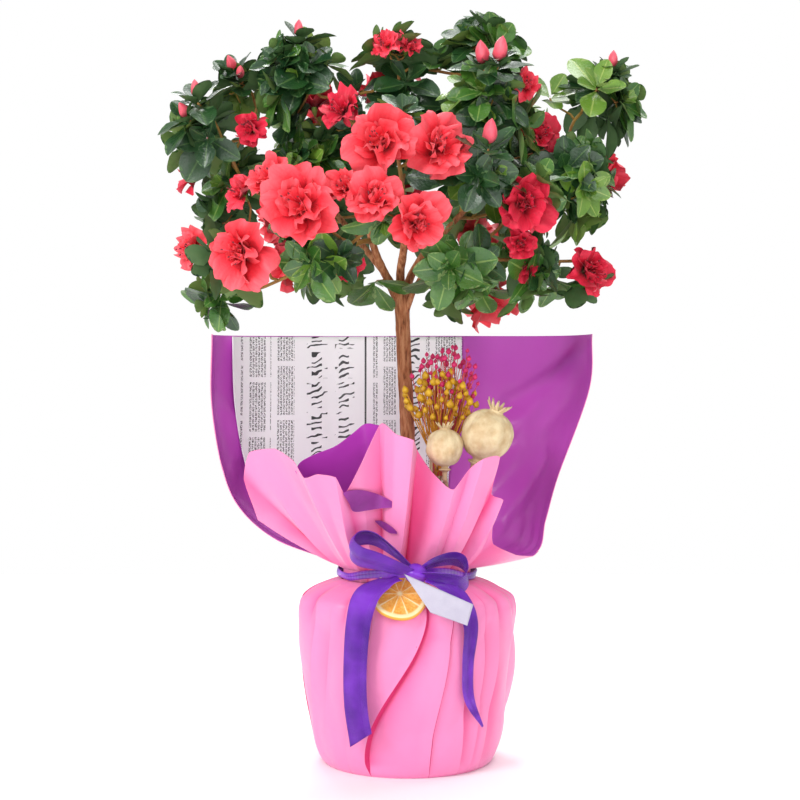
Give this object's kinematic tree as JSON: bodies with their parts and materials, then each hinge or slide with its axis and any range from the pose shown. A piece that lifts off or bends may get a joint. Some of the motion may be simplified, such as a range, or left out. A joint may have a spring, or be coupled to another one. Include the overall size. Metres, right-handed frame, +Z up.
{
  "type": "potted azalea standard",
  "caption": "Azalea grown as a standard: bare trunk, wide head of dark leaves and double coral blooms, in a pot wrapped in gathered pink paper with a purple bow.",
  "frame": {"origin": "middle of the flat underside of the wrapped pot", "axes": "+Z up the plant, +X to its right and -Y towards the front, where the bow is"},
  "size_m": [0.3675, 0.3326, 0.5636],
  "materials": {
    "bark": "flaky bark",
    "leaf": "satin leaf",
    "bloom": "soft petal",
    "pot": "matt",
    "soil": "loose compost",
    "pink_paper": "satin coated paper",
    "purple_paper": "satin coated paper",
    "newsprint": "satin printed paper",
    "ribbon": "satin weave",
    "dried_orange": "dried flesh and peel",
    "card": "smooth card",
    "straw": "dry straw",
    "yellow_berry": "matt",
    "pink_berry": "matt"
  },
  "bodies": {
    "root": {"trunk": "bark", "bough_left": "bark", "bough_centre": "bark", "bough_right": "bark", "bough_low_right": "bark", "bough_back_left": "bark", "bough_back_right": "bark", "leaf_mass_far_left": "leaf", "leaf_mass_upper_left": "leaf", "leaf_mass_top_left": "leaf", "leaf_mass_top_right": "leaf", "leaf_mass_right_shoulder": "leaf", "leaf_mass_upper_right": "leaf", "leaf_mass_far_right": "leaf", "leaf_mass_front_right": "leaf", "leaf_mass_low_front_right": "leaf", "leaf_mass_low_right": "leaf", "leaf_mass_low_front_left": "leaf", "leaf_mass_low_left_tip": "leaf", "heart_mass_left": "leaf", "heart_mass_right": "leaf", "heart_mass_back": "leaf", "back_mass_upper_1": "leaf", "back_mass_upper_2": "leaf", "back_mass_upper_3": "leaf", "back_mass_middle_1": "leaf", "back_mass_middle_2": "leaf", "back_mass_middle_3": "leaf", "back_mass_middle_4": "leaf", "back_mass_middle_5": "leaf", "back_mass_low_1": "leaf", "back_mass_low_2": "leaf", "bloom_mass_top": "bloom", "bloom_mass_centre": "bloom", "bloom_mass_front": "bloom", "bloom_mass_front_left": "bloom", "bloom_mass_low_left": "bloom", "bloom_mass_left_tip": "bloom", "bloom_mass_right": "bloom", "bloom_mass_right_tip": "bloom", "pot": "pot", "soil": "soil", "pot_wrap": "pink_paper", "collar_front": "pink_paper", "collar_back": "purple_paper", "newsprint_sheet": "newsprint", "ribbon_band": "ribbon", "bow_knot": "ribbon", "bow_loop_left": "ribbon", "bow_loop_right": "ribbon", "ribbon_tail_left": "ribbon", "ribbon_tail_right": "ribbon", "orange_slice": "dried_orange", "gift_tag": "card", "poppy_small": "straw", "poppy_large": "straw", "posy_stems": "straw", "berry_spray_yellow": "yellow_berry", "berry_spray_pink": "pink_berry"}
  },
  "joints": []
}
